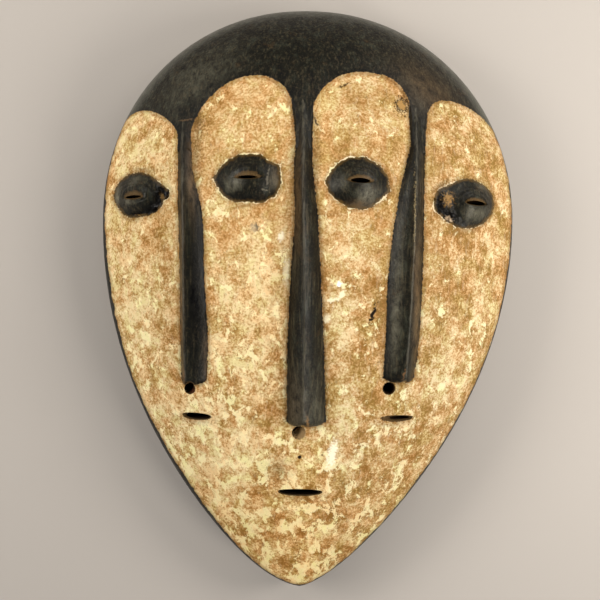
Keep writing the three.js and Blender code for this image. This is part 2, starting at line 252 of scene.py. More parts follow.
# Long-lived stains and clean places of the kaolin, and painted shade: the spots below 0 beside the
# noses' feet stand for contact shade as well as stain. Centre, half length and half width in
# millimetres, angle, and strength, below 0 where the coat is thin and brown
STAINS_AND_SHADE = (
    (-74, 82, 9, 18, 0, -1.1), (-72, 118, 12, 22, 0, -1.2), (-58, 138, 16, 10, 0, -1),
    (5, 101, 9, 14, 0, -0.9), (46, 4, 10, 14, 0, -1.3), (46, -44, 9, 20, 0, -0.6),
    (25, -18, 9, 16, 0, 1), (-55, -4, 9, 14, 0, 0.9), (91, -62, 12, 14, 0, 0.9),
    (24, -76, 12, 10, 0, 0.5), (-104, 56, 10, 7, 0, -1), (-96, -6, 8, 30, 0, -0.7),
    (50, -20, 7, 26, 0, -1.1), (107, 42, 15, 10, 0, -1), (49, 70, 9, 15, 0, -0.8),
    (93, 58, 9, 11, 0, -0.6), (16, -62, 14, 18, 0, -0.7), (-18, -119, 9, 11, 0, -0.9),
    (36, -122, 15, 16, 0, -0.7), (46, -108, 13, 11, 0, -0.5), (6, -192, 34, 14, 0, -0.5),
    (-46, -186, 12, 12, 0, -0.5), (-34, -82, 12, 12, 0, -0.4), (-38, 118, 17, 19, 0, 0.1),
    (41, 124, 19, 16, 0, 0.3), (-35, 14, 15, 36, 0, 1.6), (-128, 30, 10, 24, 0, 0.6),
    (127, 8, 13, 26, 0, 0.6), (101, -36, 19, 28, 0, 1.5), (-44, -112, 20, 19, 0, 1.5),
    (-62, -128, 22, 16, 0, 0.9), (0, -168, 60, 30, 0, -0.7), (-84, -88, 20, 22, 0, 0.9),
    (-118, 8, 12, 40, 0, 0.5), (21, 30, 13, 17, 0, 0.4), (-34, -36, 13, 24, 0, 0.9),
    (-112, 108, 16, 14, 0, 0.2),
)
# Marks with an edge: centre, half length, half width, angle, softness, strength and colour
KAOLIN_MARKS = (
    # The first four are brown beside the noses' feet: stain, with painted shade where the noses
    # stand up
    (-77, 97, 3.6, 36, 1, 1.3, 0.7, "#5A4526"), (-79, 122, 5, 9, 25, 1.2, 0.6, "#5A4526"),
    (5.5, 96, 2, 22, 0, 1.2, 0.5, "#6A5230"), (49.5, -10, 2.2, 36, 3, 1.2, 0.45, "#7A5E34"),
    (19.3, -106.5, 10.5, 3, 80, 0.45, 0.95, "#FFF8DC"),
    (21.2, 9.8, 1.9, 1.5, 40, 0.4, 1, "#FFFDF2"), (17, -0.6, 4.6, 1.3, 10, 0.4, 0.85, "#FFF6D2"),
    (23, 2.6, 1.6, 4.4, -35, 0.4, 0.8, "#FFF6D2"),
    (13.8, -13.5, 2.2, 3.4, -20, 0.5, 0.7, "#FFF6D2"),
    (-17.8, 41, 2, 3.2, -10, 0.5, 0.9, "#FFF6D8"), (-14.2, 18.5, 2, 9, 0, 0.6, 0.6, "#FFF4D0"),
    (-36, 46.8, 3, 3, 0, 0.5, 0.55, "#A59A82"), (-34.4, 47.4, 1, 3.2, 25, 0.6, 0.75, "#5B5444"),
    (-17.5, -118.5, 7.5, 9, 20, 1.2, 0.55, "#5F4B26"),
    (62.6, 133.2, 4.8, 6, 10, 0.3, 0.95, "#2C1C0C"),
    (62.8, 133.4, 2.8, 3.4, 10, 0.25, 0.95, "#A8844E"),
    (-42.4, -41.8, 5, 0.35, -12, 0.5, 0.7, "#8C6A3A"),
    (22.5, 145.6, 5, 0.7, 28, 0.5, 0.95, "#4C3418"),
    (4.4, 118.8, 3, 0.8, -68, 0.4, 0.95, "#2A1C10"),
    (44.6, -9.7, 6.3, 1.5, 72, 0.3, 1, "#1C120B"), (73.3, 15.2, 0.8, 0.8, 0, 0.4, 1, "#1E150D"),
    (-2.9, -109, 1.2, 1, 0, 0.4, 1, "#20150D"), (12.6, -107.2, 0.9, 0.9, 0, 0.5, 0.9, "#5A3C18"),
    (53.4, -96.5, 1.6, 4.6, 5, 0.6, 0.6, "#8F6532"),
    (-75.7, -85.4, 13, 3.4, -2, 1, 0.6, "#6E4A22"), (-2.2, -137.6, 16, 3.2, 0, 1, 0.6, "#6E4A22"),
    (62.6, -84.2, 13, 3.2, 2, 1, 0.6, "#6E4A22"), (91.5, 79.5, 8, 2.4, 33, 0.9, 0.7, "#5E4824"),
    (-116, 88.5, 9, 2, -8, 0.9, 0.55, "#6B5128"), (-123, 53.5, 7, 1.8, -10, 0.9, 0.6, "#7A5A30"),
    (110, 48.5, 9, 2.2, 12, 0.9, 0.5, "#7A5C32"), (19, 56.5, 6, 2, -15, 0.9, 0.4, "#8A6A3C"),
    (-44, 61, 10, 1.6, 4, 0.9, 0.45, "#80602F"),
)
BLACK_MARKS = (
    (96.2, 70, 4.4, 4.6, -10, 0.7, 0.85, "#9A7540"),
    (97.3, 56.6, 2.8, 1.8, -20, 0.5, 0.9, "#C2AA8C"),
    (-27.5, 80, 0.7, 7, -6, 0.5, 0.6, "#6B6558"), (-29, 71.5, 2.6, 0.8, -10, 0.5, 0.6, "#77705F"),
    (-84.5, 121.5, 6, 0.8, 4, 0.6, 0.8, "#5E4A34"), (-83.6, -54, 0.9, 7, 4, 0.7, 0.7, "#6A5340"),
    (1.6, -83.5, 1.1, 4.6, 5, 0.6, 0.9, "#80603A"),
    (66.6, -51, 0.7, 4.6, -16, 0.6, 0.7, "#7A5A3C"),
    (-101.5, 69, 1.6, 2.6, 20, 0.7, 0.75, "#8A6C40"),
    (-118.5, 56.4, 2.6, 0.9, 5, 0.7, 0.7, "#8A6C40"), (3.2, -10, 0.8, 55, 1, 0.8, 0.8, "#0B0A09"),
    (71.2, 60, 0.6, 26, 0, 0.6, 0.7, "#8A7A58"),
)
# Painted sheen and shade on the black: centre, half length, half width, angle and strength. Above 0
# it is painted lighter grey: highlights on the eye domes and the noses' flanks, and a lighter patch
# on the crown. Below 0 it is painted shade, near black: in the valleys over the noses, along the
# left nose's right flank, at the right nose's foot, in the crumbled pits and low on some eye domes
BLACK_SHEEN_AND_SHADE = (
    (-80, 150, 34, 15, 40, 0.25), (7, -72, 6, 26, 0, 0.22), (-6, -76, 5.5, 24, 0, 0.25),
    (61, 10, 3.6, 42, -1, 0.3), (59.5, -25, 3.2, 26, -1, 0.3), (58, -54, 5, 3.2, 0, -0.5),
    (-75, 5, 7, 66, 0, -0.9), (-54, 74, 6.5, 4, -35, 0.4), (-48, 77, 4.2, 5, 0, 0.5),
    (-22.6, 77.2, 3.6, 5.5, 0, 0.4), (-60, 74, 2.8, 4.5, 20, -0.7), (-40, 67, 14, 3, 0, -0.6),
    (33, 64, 10, 3.6, 6, 0.45), (20.5, 76, 6, 6.5, 0, 0.3), (41, 70.5, 8, 4, 15, 0.35),
    (37, 69, 5, 5.5, 0, 0.45), (27, 66, 9, 3.5, -10, -0.5), (114.5, 60.5, 10, 5, 8, 0.45),
    (121, 81.5, 5, 3.2, -25, 0.4), (107, 76, 7, 5, 20, -0.5), (89.5, 66, 5, 7, 10, -1.7),
    (97.5, 57, 7, 5, -20, -1.6), (-137, 72, 2.4, 9, 0, 0.5), (-136, 69, 2.2, 6.5, -12, 0.3),
    (-126, 66, 5.5, 2.2, -8, 0.45), (-122, 81, 8, 3.6, 10, 0.25), (-116, 58, 9, 4, 20, -0.6),
    (-99.5, 71, 6, 7.5, 0, -1.9), (-104.5, 60.5, 6, 5, 35, -1.5), (-84, 104, 4, 24, 0, -0.7),
    (-5, 100, 5, 30, 0, -0.25), (72, 100, 4, 28, 0, -0.5),
)
# Where the black has worn to brown wood, in the same numbers
BLACK_BROWN = (
    (-79.5, 84, 3.4, 26, 3, 0.75), (-68, -40, 2.2, 17, 0, 0.6), (-7, 66, 3, 34, -1, 0.55),
    (74.5, -5, 3.4, 52, 2, 0.6), (-85.6, -5, 2.2, 62, 0, 0.7), (84, 146, 30, 15, -42, 0.4),
    (33, 62.5, 10, 3.4, 6, 0.7), (-6, -76, 5.5, 24, 0, 0.25), (-22, 80, 3.2, 8, 0, 0.3),
)
# Bare wood seen inside the nostrils: the lit lower wall of the middle one, red-brown in the others
WOOD_MARKS = (
    (-2.6, -93, 5.6, 5.2, 0, 0.4, 0.9, "#A98D64"),
    (-78.6, -66.2, 2.8, 2.4, 30, 0.7, 0.85, "#4A2414"),
    (58.6, -62.6, 3.2, 2.4, 30, 0.7, 0.8, "#3C2012"),
)

# Soft lights: name, azimuth and elevation in degrees, distance and size in metres, power in watts
LIGHTS = (
    ("window_left", 162, 38, 1.15, 0.4, 4.6), ("window_low_left", 182, 38, 1.15, 0.4, 2.6),
    ("window_upper_left", 132, 40, 1.15, 0.4, 1.7),
    ("window_low_right", -38, 37, 1.15, 0.38, 4.6), ("lamp_right", 2, 38, 0.7, 0.28, 2.3),
    ("lamp_upper_right", 50, 35, 0.75, 0.48, 2.1), ("window_top", 88, 52, 1, 0.5, 1),
)
LAMP_COLOUR = "#FFF9F0"
ROOM_COLOUR = "#F4F8FF"
# Direction in which the room over the mask is darkest, the cosines between which it darkens, and
# its strength before and after
DARK_CEILING = (0.0, 0.42, 0.91)
CEILING_CONE = (0.35, 0.88)
CEILING_SHARE = (1.5, 0.15)
# Camera: millimetres to a pixel at the height of the mask's edge, and its place over the floor
PIXEL_SIZE = 0.728
CAMERA_X, CAMERA_Y = -4.66, -1.09
FLOOR_HALF = 4000.0


class MaskShape(bpy.types.PropertyGroup):
    """Sizes of the mask's surface that a maker may want to change."""

    forehead_lift: bpy.props.FloatProperty(
        name="Forehead lift", description="How far the black forehead stands above the pale fields",
        default=0.003, unit="LENGTH")
    crust: bpy.props.FloatProperty(
        name="Kaolin crust", description="Thickness of the kaolin at its chipped edges",
        default=0.0005, unit="LENGTH")
    raggedness: bpy.props.FloatProperty(
        name="Raggedness", description="How far the kaolin's edge wanders from its line",
        default=0.0009, unit="LENGTH")
    columns: bpy.props.IntProperty(
        name="Columns", description="Grid cells across the face before the mesh is thinned",
        default=440, min=40, max=800)
    rows: bpy.props.IntProperty(
        name="Rows", description="Grid cells along the face before the mesh is thinned",
        default=600, min=60, max=1000)
    triangles: bpy.props.IntProperty(
        name="Triangles", description="Triangles kept in the finished mesh",
        default=190000, min=5000, max=199000)


class MaskColours(bpy.types.PropertyGroup):
    """Colours of the coatings and the wood."""

    kaolin: bpy.props.StringProperty(
        name="Kaolin", description="Main colour of the worn kaolin, as an sRGB hex value",
        default="#C49B62")
    black: bpy.props.StringProperty(
        name="Black", description="The blackened wood, as an sRGB hex value",
        default="#17160F")
    wood: bpy.props.StringProperty(
        name="Bare wood", description="Wood inside the cuts and the hollow, as an sRGB hex value",
        default="#5F4B2D")


class StageSettings(bpy.types.PropertyGroup):
    """The floor, the lights and the camera."""

    camera_height: bpy.props.FloatProperty(
        name="Camera height", description="Height of the camera above the floor",
        default=0.75, unit="LENGTH")
    roll: bpy.props.FloatProperty(
        name="Camera roll", description="Turn of the camera about its own axis",
        default=np.radians(0.95), subtype="ANGLE")
    room: bpy.props.FloatProperty(
        name="Room light", description="Strength of the light that comes from all round",
        default=0.22, min=0.0)
    floor: bpy.props.StringProperty(
        name="Floor", description="Colour of the pale floor, as an sRGB hex value",
        default="#B5AFA9")


def linear(hex_colour):
    """Linear colour with alpha from an sRGB hex value."""
    srgb = [int(hex_colour[i:i + 2], 16) / 255 for i in (1, 3, 5)]
    return [c / 12.92 if c <= 0.04045 else ((c + 0.055) / 1.055) ** 2.4 for c in srgb] + [1.0]


def smooth(t):
    """S-curve from 0 at t = 0 to 1 at t = 1."""
    t = np.clip(t, 0.0, 1.0)
    return t * t * (3 - 2 * t)


def lattice_noise(x, y, size, seed):
    """Smooth random values between -1 and 1. Random numbers stand on a square lattice, size apart
    and turned by an angle of its own, and each point blends its four nearest by an s-curve."""
    rng = np.random.default_rng(seed)
    table = rng.uniform(-1, 1, (256, 256))
    angle = rng.uniform(0, np.pi / 2)
    u = (x * np.cos(angle) + y * np.sin(angle)) / size + 128
    v = (y * np.cos(angle) - x * np.sin(angle)) / size + 128
    i, j = np.floor(u).astype(int), np.floor(v).astype(int)
    f, g = smooth(u - i), smooth(v - j)
    i0, i1, j0, j1 = i % 256, (i + 1) % 256, j % 256, (j + 1) % 256
    low = table[i0, j0] * (1 - f) + table[i1, j0] * f
    high = table[i0, j1] * (1 - f) + table[i1, j1] * f
    return low * (1 - g) + high * g


def noise(x, y, name):
    """Sum of lattice noises, each half the size and half the strength of the one before."""
    size, seed, layers = NOISES[name]
    total = sum(lattice_noise(x, y, size / 2 ** k, seed + k) / 2 ** k for k in range(layers))
    return total / (2 - 2 ** (1 - layers))


def scoops(x, y, name):
    """Depth pattern of overlapping gouge cuts: each point takes the squared distance to the
    nearest centre of a jittered grid, with cells size wide and stretch times as long."""
    size, stretch, seed = GOUGES[name]
    u, v = x / size, y / (size * stretch)
    i, j = np.floor(u).astype(int), np.floor(v).astype(int)
    jitter = np.random.default_rng(seed).uniform(0, 1, (64, 64, 2))
    nearest = np.full(np.shape(x), 9.0)
    for di in (-1, 0, 1):
        for dj in (-1, 0, 1):
            spot = jitter[(i + di) % 64, (j + dj) % 64]
            away = (i + di + spot[..., 0] - u) ** 2 + (j + dj + spot[..., 1] - v) ** 2
            nearest = np.minimum(nearest, away)
    return nearest


def half_width(rise, right, grow=0.0):
    """Half width of the outline at a row. rise is 0 at the widest row, 1 at the crown and -1 at
    the chin. Above, it is a superellipse; below, a power of (1 - rise squared) that tapers."""
    def pick(name):
        return np.where(right, RIGHT[name], LEFT[name])
    crown = (1 - np.clip(rise, 0, 1) ** pick("crown_power")) ** (1 / pick("crown_power"))
    down = np.clip(-rise, 0, 1)
    chin = (1 - down ** 2) ** (pick("chin_power") - pick("chin_taper") * down ** 6)
    return (pick("half") + grow) * np.where(rise >= 0, crown, chin)


def outline(angle, grow=0.0, chin_grow=None):
    """Points of the outline at angles about the widest row, moved outward by grow."""
    chin_grow = grow if chin_grow is None else chin_grow
    rise = np.clip(np.sin(angle), -1, 1)
    right = np.cos(angle) >= 0
    reach = np.where(rise >= 0, CROWN_LENGTH + grow, CHIN_LENGTH + chin_grow)
    across = np.where(right, 1, -1) * half_width(rise, right, grow)
    return AXIS_X + across, WIDEST_Y + reach * rise


def edge_table(samples=7200):
    """For rays from the middle of the widest row: direction, reach to the outline, and the reach
    measured square to the outline, so that a share of it is a distance from the edge."""
    angle = np.linspace(-np.pi, np.pi, samples, endpoint=False)
    x, y = outline(angle)
    dx, dy = x - AXIS_X, y - WIDEST_Y
    tx, ty = np.roll(x, -1) - np.roll(x, 1), np.roll(y, -1) - np.roll(y, 1)
    square = (dx * ty - dy * tx) / np.hypot(tx, ty)
    direction = np.arctan2(dy, dx)
    order = np.argsort(direction)
    return direction[order], np.hypot(dx, dy)[order], square[order]


EDGE_DIRECTION, EDGE_REACH, EDGE_SQUARE = edge_table()


def from_edge(x, y):
    """Share of the way from the middle to the outline, distance inside the outline, direction."""
    direction = np.arctan2(y - WIDEST_Y, x - AXIS_X)
    period = 2 * np.pi
    reach = np.interp(direction, EDGE_DIRECTION, EDGE_REACH, period=period)
    square = np.interp(direction, EDGE_DIRECTION, EDGE_SQUARE, period=period)
    share = np.hypot(x - AXIS_X, y - WIDEST_Y) / reach
    return share, (1 - share) * square, direction


def arc(share, roundness):
    """Height of a circular arc of the given roundness, from 1 in the middle to 0 at the end."""
    floor = np.sqrt(1 - roundness ** 2)
    return (np.sqrt(1 - np.clip(roundness * share, 0, roundness) ** 2) - floor) / (1 - floor)


def face_height(x, y):
    """Height of the plain face: an arc along the middle line times an arc across the row."""
    up = y >= WIDEST_Y
    rise = np.clip((y - WIDEST_Y) / np.where(up, CROWN_LENGTH, CHIN_LENGTH), -1, 1)
    half = np.maximum(half_width(rise, x >= AXIS_X), 1e-6)
    across = np.clip(np.abs(x - AXIS_X) / half, 0, 1)
    crown_turn = FACE_ROUNDNESS + (CROWN_ROUNDNESS - FACE_ROUNDNESS) * rise ** 2
    turn = np.where(up, crown_turn, FACE_ROUNDNESS)
    along = arc(np.abs(rise), np.where(up, CROWN_ROUNDNESS, FACE_ROUNDNESS))
    return EDGE_HEIGHT + BULGE * along * arc(across, turn)


def arch_side(field, left):
    """Half width and power of an arch, for points that are on its left or not."""
    reach = np.where(left, field["x"] - field["left"], field["right"] - field["x"])
    return reach, np.where(left, *field["powers"])


def field_border():
    """The forehead's lower edge as one line: over each arch by its power curve, and down into the
    valley between two arches and up again."""
    points = [(-CHIN_LENGTH, FIELDS[0]["spring"])]
    turn = np.linspace(-np.pi / 2, np.pi / 2, 49)
    for order, field in enumerate(FIELDS):
        if order:
            points.append((field["left"], VALLEY_FLOOR))
        reach, power = arch_side(field, turn < 0)
        x = field["x"] + reach * np.sign(turn) * np.abs(np.sin(turn)) ** (2 / power)
        y = field["spring"] + (field["y"] - field["spring"]) * np.cos(turn).clip(0) ** (2 / power)
        points.extend(zip(x, y))
        if order < len(FIELDS) - 1:
            points.append((field["right"], VALLEY_FLOOR))
    points.append((CHIN_LENGTH, FIELDS[-1]["spring"]))
    return np.array(points)


def in_field(x, y):
    """Whether a point lies inside one of the pale fields' arches, or below the valleys."""
    inside = y < VALLEY_FLOOR
    for field in FIELDS:
        reach, power = arch_side(field, x < field["x"])
        up = np.clip((y - field["spring"]) / (field["y"] - field["spring"]), 0, None)
        across = np.abs(x - field["x"]) / reach
        inside = inside | (across ** power + up ** power < 1)
    return inside


def line_distance(x, y, line):
    """Distance from each point to the nearest stretch of a line of straight steps."""
    nearest = np.full(x.shape, 1e9)
    for (ax, ay), (bx, by) in zip(line[:-1], line[1:]):
        ux, uy = bx - ax, by - ay
        length = ux * ux + uy * uy + 1e-12
        t = np.clip(((x - ax) * ux + (y - ay) * uy) / length, 0, 1)
        nearest = np.minimum(nearest, (x - ax - t * ux) ** 2 + (y - ay - t * uy) ** 2)
    return np.sqrt(nearest)


def forehead_depth(x, y):
    """Distance inside the forehead's lower edge: above 0 in the forehead, below 0 in the fields."""
    depth = np.full(x.shape, -30.0)
    near = y > VALLEY_FLOOR - 10
    away = line_distance(x[near], y[near], field_border())
    depth[near] = np.where(in_field(x[near], y[near]), -away, away)
    return depth


def row_values(y, rows, column):
    """A row's value at y: a cubic curve through the rows, with slopes from their neighbours."""
    rows = np.array(sorted(rows), dtype=float)
    at, value = rows[:, 0], rows[:, column]
    slope = np.gradient(value, at)
    y = np.clip(y, at[0], at[-1])
    k = np.clip(np.searchsorted(at, y) - 1, 0, len(at) - 2)
    step = at[k + 1] - at[k]
    t = (y - at[k]) / step
    return ((2 * t ** 3 - 3 * t ** 2 + 1) * value[k] + (t ** 3 - 2 * t ** 2 + t) * step * slope[k]
            + (3 * t ** 2 - 2 * t ** 3) * value[k + 1] + (t ** 3 - t ** 2) * step * slope[k + 1])


def nose_form(x, y, rows):
    """Height of one nose above the face, its distance inside its foot, and distance to its ridge.
    Each flank falls from the ridge as (1 - v)(1 + fullness v), v running from ridge to foot, and
    the lower end curves up toward its corners as v^3.5, with a small notch at the ridge."""
    left, ridge, right, tall = (row_values(y, rows, column) for column in (1, 2, 3, 4))
    side = np.where(x < ridge, ridge - left, right - ridge)
    v = np.abs(x - ridge) / side
    top = rows[0][0]
    curl = NOSE_CORNER * np.clip(v, 0, 1) ** 3.5
    foot = rows[-1][0] + curl + NOSE_NOTCH * np.exp(-(v / 0.14) ** 2)
    end = smooth((y - foot) / 1.4 + 0.5) * smooth((top + 16 - y) / 16)
    near_foot = 1 - 0.3 * np.clip(1 - (y - foot) / 4, 0, 1) ** 2
    height = tall * end * near_foot * np.clip(1 - v, 0, 1) * (1 + FLANK_FULLNESS * v)
    inside = np.minimum((1 - v) * side, np.minimum(y - foot, top + 6 - y))
    return height, inside, np.abs(x - ridge)


def black_line(direction):
    """Width of the black left bare along the outline: widest on the left and low on the left, and
    narrower on the right."""
    degrees = np.degrees(direction) % 360
    left = np.exp(-((degrees - 200) / 30) ** 2)
    lower_left = np.exp(-((degrees - 246) / 16) ** 2)
    lower_right = np.exp(-((degrees - 297) / 25) ** 2)
    right = np.exp(-((degrees - 350) / 26) ** 2) + np.exp(-((degrees + 10) / 26) ** 2)
    return 0.9 + 2.8 * left + 2.9 * lower_left + 1.2 * lower_right + 1.1 * right


def patch_depth(x, y, corners):
    """Distance inside a patch with straight sides: above 0 inside, below 0 outside."""
    closed = np.array(corners + corners[:1], dtype=float)
    inside = np.zeros(x.shape, dtype=bool)
    for (ax, ay), (bx, by) in zip(closed[:-1], closed[1:]):
        crosses = (ay > y) != (by > y)
        inside ^= crosses & (x < ax + (y - ay) * (bx - ax) / np.where(by == ay, 1e-9, by - ay))
    away = line_distance(x, y, closed)
    return np.where(inside, away, -away)


def eye_depth(x, y, raggedness):
    """Distance inside the nearest eye's patch. Two sizes of noise make its edge ragged, and less so
    at the outer eyes."""
    depth = np.full(x.shape, -30.0)
    near = (y > 35) & (y < 110)
    nx, ny = x[near], y[near]
    broken = 1 - 0.8 * smooth((np.abs(nx) - 108) / 8)
    chips = 0.4 * noise(nx, ny, "eye_edge") + 0.4 * noise(nx, ny, "eye_chips")
    wander = raggedness * broken * chips
    patches = [patch_depth(nx, ny, corners) for corners in EYE_PATCHES]
    depth[near] = np.maximum.reduce(patches) + wander
    return depth


def black_depth(x, y, raggedness):
    """Distance inside the black: the forehead, the noses, the eyes where their crust has chipped,
    and the outline's edge. The line wanders by two sizes of noise."""
    wander = raggedness * (noise(x, y, "black_edge") + 0.6 * noise(x, y, "black_chips"))
    _, inside, direction = from_edge(x, y)
    forehead = forehead_depth(x, y) - 0.9 + 0.4 * wander
    noses = [nose_form(x, y, rows)[1] + 0.3 * wander for rows in NOSES]
    rim = black_line(direction) - inside + 0.8 * wander
    return np.maximum.reduce([forehead, *noses, eye_depth(x, y, raggedness), rim])


def dome(x, y):
    """Height of the eyes' domes: tall times (1 - share squared)^1.5, so each foot runs out flat."""
    height = np.zeros(x.shape)
    for cx, cy, rx, ry, tall in EYES:
        share = np.hypot((x - cx) / rx, (y - cy) / ry)
        height = height + tall * np.clip(1 - share ** 2, 0, 1) ** 1.5
    return height


def lid_lines(x, y):
    """Fine cuts round each slit, LID_LINE apart, that follow an oval twice as long as it is high
    and fade out a third of the way down the dome."""
    cuts = np.zeros(x.shape)
    for cx, cy, _, _, _, lid_tall, _ in SLITS:
        around = np.hypot((x - cx) / 1.9, y - cy - lid_tall / 2)
        band = smooth((around - 3.2) / 1.5) * smooth((11.0 - around) / 5)
        cuts = cuts - LID_DEPTH * band * (0.5 + 0.5 * np.cos(2 * np.pi * around / LID_LINE)) ** 3
    return cuts


def crumbling(x, y):
    """Depth of the crumbled wood: pits of about 3 mm, deepest in the middle of each spot."""
    spots = sum(np.exp(-((x - cx) / rx) ** 2 - ((y - cy) / ry) ** 2) for cx, cy, rx, ry in CRUMBLED)
    pits = np.clip(0.45 + noise(x, y, "pits") + 0.4 * noise(x, y, "fine_pits"), 0, 1)
    return PIT_DEPTH * np.clip(spots, 0, 1) * pits


def relief(x, y, shape):
    """Everything that stands on the plain face, in millimetres, and the distance into the black."""
    share, inside, _ = from_edge(x, y)
    raggedness, crust = shape.raggedness / MM, shape.crust / MM
    black = black_depth(x, y, raggedness)
    wander = 0.35 * noise(x, y, "arch_edge")
    fade = 1 - (np.clip(share / FOREHEAD_END, 0, 1)) ** FOREHEAD_FADE
    step = smooth((forehead_depth(x, y) + wander) / 2.2 + 0.55)
    carving = shape.forehead_lift / MM * fade * step
    for rows in NOSES:
        carving = np.maximum(carving, nose_form(x, y, rows)[0])
    carving = carving + dome(x, y) + lid_lines(x, y) - crumbling(x, y) * (black > 0)
    pale = smooth(-black / 0.9 + 0.2)
    rough = 0.5 * crust
    surface = rough * noise(x, y, "crust_grain") + rough * noise(x, y, "crust_waves")
    dark = 0.10 * noise(x, y, "black_grain") + 0.22 * noise(x, y, "black_waves")
    return carving + pale * (crust + surface) + (1 - pale) * dark, black


def edge_fall(inside):
    """Drop of the rounded edge: a quarter of an ellipse, from none where it begins to all of it
    at the outline."""
    t = np.clip(1 - inside / EDGE_ROUND, 0, 1)
    return EDGE_DROP * (1 - np.sqrt(np.clip(1 - t * t, 0, 1)))


def front_height(x, y, shape):
    """Height of the carved front."""
    lift, _ = relief(x, y, shape)
    _, inside, _ = from_edge(x, y)
    settle = smooth(inside / 2.0)
    return face_height(x, y) + lift * settle - edge_fall(inside)


def disc_grid(columns, rows):
    """A square grid pressed into a disc: across times sqrt(1 - along squared / 2), and the other
    way round. Returns share of the radius, angle, and the corner numbers of its cells."""
    across, along = np.meshgrid(np.linspace(-1, 1, columns + 1), np.linspace(-1, 1, rows + 1))
    x, y = across * np.sqrt(1 - along ** 2 / 2), along * np.sqrt(1 - across ** 2 / 2)
    number = np.arange(x.size).reshape(x.shape)
    cells = np.stack([number[:-1, :-1], number[:-1, 1:], number[1:, 1:], number[1:, :-1]], axis=-1)
    border = np.concatenate([number[0, :-1], number[:-1, -1], number[-1, :0:-1], number[:0:-1, 0]])
    return np.hypot(x, y).ravel(), np.arctan2(y, x).ravel(), cells.reshape(-1, 4), border


def ease_to_edge(share, zone):
    """Shares of the radius drawn closer together in the last zone before the edge."""
    out = 1 - share
    eased = np.where(out < zone, out ** 2 / (2 * zone), out - zone / 2)
    return 1 - eased / (1 - zone / 2)


def front_points(columns, rows, shape):
    """The front's grid, carried over the outline and lifted to the carved height."""
    share, angle, cells, border = disc_grid(columns, rows)
    share = ease_to_edge(np.minimum(share, 1), 0.035)
    ox, oy = outline(angle)
    x, y = AXIS_X + share * (ox - AXIS_X), WIDEST_Y + share * (oy - WIDEST_Y)
    return np.stack([x, y, front_height(x, y, shape)], axis=1), cells, border, angle[border]


def wall_points(angle, levels=20):
    """Rings down the side wall. Each is the outline moved outward with depth, by flat gouge cuts
    that fade at both edges, and the lowest turns in a little to a worn corner."""
    top = EDGE_HEIGHT - EDGE_DROP
    rings = []
    around = np.unwrap(angle) * WALL_RADIUS
    ox, oy = outline(angle)
    gx, gy = outline(angle, 1.0)
    for level in range(1, levels + 1):
        down = level / levels
        height = top * (1 - down)
        cuts = scoops(around, np.full_like(around, height), "wall")
        worn = 0.6 * (down > 0.99)
        grow = WALL_FLARE * down - 0.7 * np.clip(cuts, 0, 0.7) * np.sin(np.pi * down) - worn
        x, y = ox + (gx - ox) * grow, oy + (gy - oy) * grow
        rings.append(np.stack([x, y, np.full_like(x, max(height, 0.0))], axis=1))
    return rings


def hollow_points(columns, rows):
    """The hollow's grid: depth times (1 - share^p)^(1/p) inside the rim, cut by a curved gouge."""
    share, angle, cells, border = disc_grid(columns, rows)
    spread = np.sin(np.pi / 2 * np.minimum(share, 1))
    ox, oy = outline(angle, -RIM_LAND, -CHIN_LAND)
    x, y = AXIS_X + spread * (ox - AXIS_X), WIDEST_Y + spread * (oy - WIDEST_Y)
    z = HOLLOW_DEPTH * (1 - spread ** HOLLOW_POWER) ** (1 / HOLLOW_POWER)
    cuts = 1.9 * np.clip(0.55 - scoops(x, y, "hollow"), -0.4, 0.55)
    rough = 0.25 * noise(x, y, "hollow_grain")
    z = z + (cuts + rough - 1.0) * smooth(z / 14)
    z[border] = 0.0
    return np.stack([x, y, z], axis=1), cells[:, ::-1], border


def ring_faces(upper, lower):
    """Four-sided faces between two rings of the same count, facing outward."""
    return np.stack([np.roll(upper, -1), upper, lower, np.roll(lower, -1)], axis=1)


def land_faces(outer, inner):
    """Three-sided faces of the flat rim, between a ring and one of half its count."""
    a, b, c = outer[0::2], outer[1::2], np.roll(outer[0::2], -1)
    p, q = inner, np.roll(inner, -1)
    return np.concatenate([np.stack(t, axis=1) for t in ((b, a, p), (b, p, q), (c, b, q))])


def new_object(name, points, face_groups, smooth_shaded=True):
    """An object at the origin from points in millimetres and arrays of faces."""
    mesh = bpy.data.meshes.new(name)
    corners = np.concatenate([faces.ravel() for faces in face_groups])
    sizes = np.concatenate([np.full(len(faces), faces.shape[1]) for faces in face_groups])
    mesh.vertices.add(len(points))
    mesh.vertices.foreach_set("co", (points * MM).astype(np.float32).ravel())
    mesh.loops.add(len(corners))
    mesh.loops.foreach_set("vertex_index", corners.astype(np.int32))
    mesh.polygons.add(len(sizes))
    mesh.polygons.foreach_set("loop_start", (np.cumsum(sizes) - sizes).astype(np.int32))
    mesh.polygons.foreach_set("use_smooth", np.full(len(sizes), smooth_shaded))
    mesh.update(calc_edges=True)
    mesh.validate()
    obj = bpy.data.objects.new(name, mesh)
    bpy.context.scene.collection.objects.link(obj)
    return obj


def carved_block(shape):
    """The whole mask before it is bored: front, wall, flat rim and hollow as one closed skin."""
    front, front_cells, front_border, angle = front_points(shape.columns, shape.rows, shape)
    rings = wall_points(angle)
    hollow, hollow_cells, hollow_border = hollow_points(shape.columns // 2, shape.rows // 2)
    points, faces = [front], [front_cells]
    upper, count = front_border, len(front)
    for ring in rings:
        lower = count + np.arange(len(ring))
        faces.append(ring_faces(upper, lower))
        points.append(ring)
        upper, count = lower, count + len(ring)
    faces.append(land_faces(upper, count + hollow_border))
    faces.append(hollow_cells + count)
    points.append(hollow)
    return new_object("mask", np.concatenate(points), faces)


